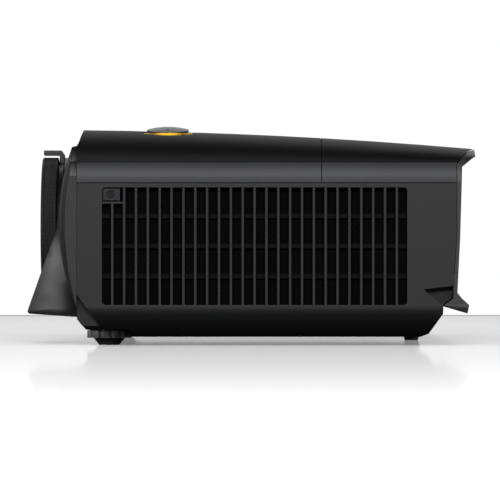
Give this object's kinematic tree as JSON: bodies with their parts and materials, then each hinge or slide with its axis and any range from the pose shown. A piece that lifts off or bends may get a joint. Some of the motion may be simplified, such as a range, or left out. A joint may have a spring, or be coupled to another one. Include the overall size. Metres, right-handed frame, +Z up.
{
  "type": "home projector",
  "caption": "Desktop home projector with an offset lens, finger-turned focus ring, zoom lever, lens-shift dial, slatted side grilles and screw feet.",
  "frame": {"origin": "centre of the footprint, on the surface that the feet stand on", "axes": "lens looks along -X, left flank faces -Y, +Z up"},
  "size_m": [0.2641, 0.38, 0.1293],
  "materials": {
    "lower_case": "fine spark-eroded texture",
    "top_case": "satin black",
    "front_case": "fine texture, charcoal",
    "rear_trim": "satin charcoal",
    "rear_plate": "textured black",
    "grille_plastic": "moulded charcoal",
    "infrared_window": "polished dark red",
    "gold_trim": "plated satin gold",
    "control_plastic": "satin black",
    "knurled_rubber": "diamond knurl",
    "black_metal": "black anodised",
    "coated_glass": "anti-reflection coated",
    "color_glass": "dichroic segments",
    "mirror_glass": "silvered inside",
    "lamp_glass": "coated reflector glass",
    "cast_metal": "die cast",
    "sheet_steel": "zinc plated",
    "screw_steel": "black zinc",
    "brass": "machined",
    "circuit_board": "solder mask",
    "socket_shell": "nickel plated",
    "socket_plastic": "moulded black",
    "inner_plastic": "moulded black",
    "foot_plastic": "moulded grey",
    "foot_rubber": "soft"
  },
  "bodies": {
    "housing": {"analog_sockets": "socket_shell", "base_frame": "sheet_steel", "brass_inserts": "brass", "case_screws": "screw_steel", "chip_heatsink": "cast_metal", "color_wheel_motor": "sheet_steel", "dial_trim_ring": "gold_trim", "digital_sockets": "socket_shell", "fan_frames": "inner_plastic", "front_fascia": "front_case", "ir_window": "infrared_window", "keypad_board": "circuit_board", "lamp_ballast": "inner_plastic", "lamp_bulb": "lamp_glass", "lamp_housing": "inner_plastic", "lens_mount_frame": "sheet_steel", "lens_shroud": "front_case", "light_engine_housing": "cast_metal", "light_tunnel": "mirror_glass", "lower_shell": "lower_case", "main_board": "circuit_board", "mirror_chip_board": "circuit_board", "power_inlet": "socket_plastic", "power_supply": "circuit_board", "rear_bezel": "rear_trim", "rear_foot": "foot_rubber", "rear_panel": "rear_plate", "service_plates": "grille_plastic", "service_screws": "screw_steel", "shift_guide_rods": "sheet_steel", "side_grille_left": "grille_plastic", "side_grille_right": "grille_plastic", "speakers": "inner_plastic", "upper_shell_front": "top_case", "upper_shell_rear": "top_case"},
    "lens_unit": {"lens_barrel": "black_metal", "lens_carriage": "cast_metal", "lens_retainer": "black_metal", "rear_lens": "coated_glass"},
    "focus_grip": {"focus_ring": "knurled_rubber"},
    "focus_optics": {"focus_cell": "black_metal", "front_lens": "coated_glass"},
    "zoom_grip": {"zoom_ring": "control_plastic"},
    "zoom_optics": {"zoom_cell": "black_metal", "zoom_lens": "coated_glass"},
    "dial": {"shift_dial": "control_plastic"},
    "lead_screw": {"shift_screw": "sheet_steel"},
    "left_foot": {"foot_pad_left": "foot_rubber"},
    "left_thumbwheel": {"foot_wheel_left": "foot_plastic"},
    "right_foot": {"foot_pad_right": "foot_rubber"},
    "right_thumbwheel": {"foot_wheel_right": "foot_plastic"},
    "intake_blades": {"intake_rotor": "inner_plastic"},
    "exhaust_blades": {"exhaust_rotor": "inner_plastic"},
    "color_disc": {"color_wheel": "color_glass"},
    "up_button": {"up_key": "control_plastic"},
    "down_button": {"down_key": "control_plastic"},
    "left_button": {"left_key": "control_plastic"},
    "right_button": {"right_key": "control_plastic"},
    "menu_button": {"menu_key": "control_plastic"},
    "power_button": {"power_key": "control_plastic"}
  },
  "joints": [
    {"name": "lens_shift", "type": "slide", "parent": "housing", "child": "lens_unit", "axis": [0, 0, 1], "range_m": [-0.0025, 0.0025]},
    {"name": "focus_turn", "type": "hinge", "parent": "lens_unit", "child": "focus_grip", "pos_m": [-0.12, -0.092, 0.069], "axis": [1, 0, 0], "range_deg": [-60.5, 60.5]},
    {"name": "focus_slide", "type": "slide", "parent": "lens_unit", "child": "focus_optics", "axis": [1, 0, 0], "range_m": [-0.0012, 0.0012]},
    {"name": "zoom_turn", "type": "hinge", "parent": "lens_unit", "child": "zoom_grip", "pos_m": [-0.12, -0.092, 0.069], "axis": [1, 0, 0], "range_deg": [-18.2, 18.2]},
    {"name": "zoom_slide", "type": "slide", "parent": "lens_unit", "child": "zoom_optics", "axis": [1, 0, 0], "range_m": [-0.008, 0.008]},
    {"name": "dial_turn", "type": "hinge", "parent": "housing", "child": "dial", "pos_m": [-0.049, -0.147, 0.12375], "axis": [0, -0.1392, 0.9903], "range_deg": [-182, 182]},
    {"name": "screw_turn", "type": "hinge", "parent": "housing", "child": "lead_screw", "pos_m": [-0.05, -0.1435, 0.06], "axis": [0, 0, 1], "range_deg": [-364, 364]},
    {"name": "intake_spin", "type": "hinge", "parent": "housing", "child": "intake_blades", "pos_m": [0.038, -0.17, 0.0542], "axis": [0, 1, 0], "continuous": true},
    {"name": "exhaust_spin", "type": "hinge", "parent": "housing", "child": "exhaust_blades", "pos_m": [0.038, 0.17, 0.0542], "axis": [0, 1, 0], "continuous": true},
    {"name": "color_spin", "type": "hinge", "parent": "housing", "child": "color_disc", "pos_m": [0.032, -0.0165, 0.06], "axis": [0, 1, 0], "continuous": true},
    {"name": "left_foot_extend", "type": "slide", "parent": "housing", "child": "left_foot", "axis": [0, 0, -1], "range_m": [0, 0.01]},
    {"name": "left_wheel_turn", "type": "hinge", "parent": "left_foot", "child": "left_thumbwheel", "pos_m": [-0.0835, -0.158, 0.006], "axis": [0, 0, 1], "range_deg": [-4, 1444]},
    {"name": "right_foot_extend", "type": "slide", "parent": "housing", "child": "right_foot", "axis": [0, 0, -1], "range_m": [0, 0.01]},
    {"name": "right_wheel_turn", "type": "hinge", "parent": "right_foot", "child": "right_thumbwheel", "pos_m": [-0.0835, 0.158, 0.006], "axis": [0, 0, 1], "range_deg": [-4, 1444]},
    {"name": "up_press", "type": "slide", "parent": "housing", "child": "up_button", "axis": [0, 0, -1], "range_m": [0, 0.0008], "stiffness_N_per_m": 500, "springref_m": -0.0006},
    {"name": "down_press", "type": "slide", "parent": "housing", "child": "down_button", "axis": [0, 0, -1], "range_m": [0, 0.0008], "stiffness_N_per_m": 500, "springref_m": -0.0006},
    {"name": "left_press", "type": "slide", "parent": "housing", "child": "left_button", "axis": [0, 0, -1], "range_m": [0, 0.0008], "stiffness_N_per_m": 500, "springref_m": -0.0006},
    {"name": "right_press", "type": "slide", "parent": "housing", "child": "right_button", "axis": [0, 0, -1], "range_m": [0, 0.0008], "stiffness_N_per_m": 500, "springref_m": -0.0006},
    {"name": "menu_press", "type": "slide", "parent": "housing", "child": "menu_button", "axis": [0, 0, -1], "range_m": [0, 0.0008], "stiffness_N_per_m": 500, "springref_m": -0.0006},
    {"name": "power_press", "type": "slide", "parent": "housing", "child": "power_button", "axis": [0, 0, -1], "range_m": [0, 0.0008], "stiffness_N_per_m": 500, "springref_m": -0.0006}
  ],
  "couplings": [
    {"joint": "focus_turn", "follows": "focus_slide", "rad_per_m": 872.66},
    {"joint": "zoom_turn", "follows": "zoom_slide", "rad_per_m": 39.27},
    {"joint": "dial_turn", "follows": "lens_shift", "rad_per_m": 1256.6},
    {"joint": "screw_turn", "follows": "lens_shift", "rad_per_m": 2513.3},
    {"joint": "left_wheel_turn", "follows": "left_foot_extend", "rad_per_m": 2513.3},
    {"joint": "right_wheel_turn", "follows": "right_foot_extend", "rad_per_m": 2513.3}
  ]
}
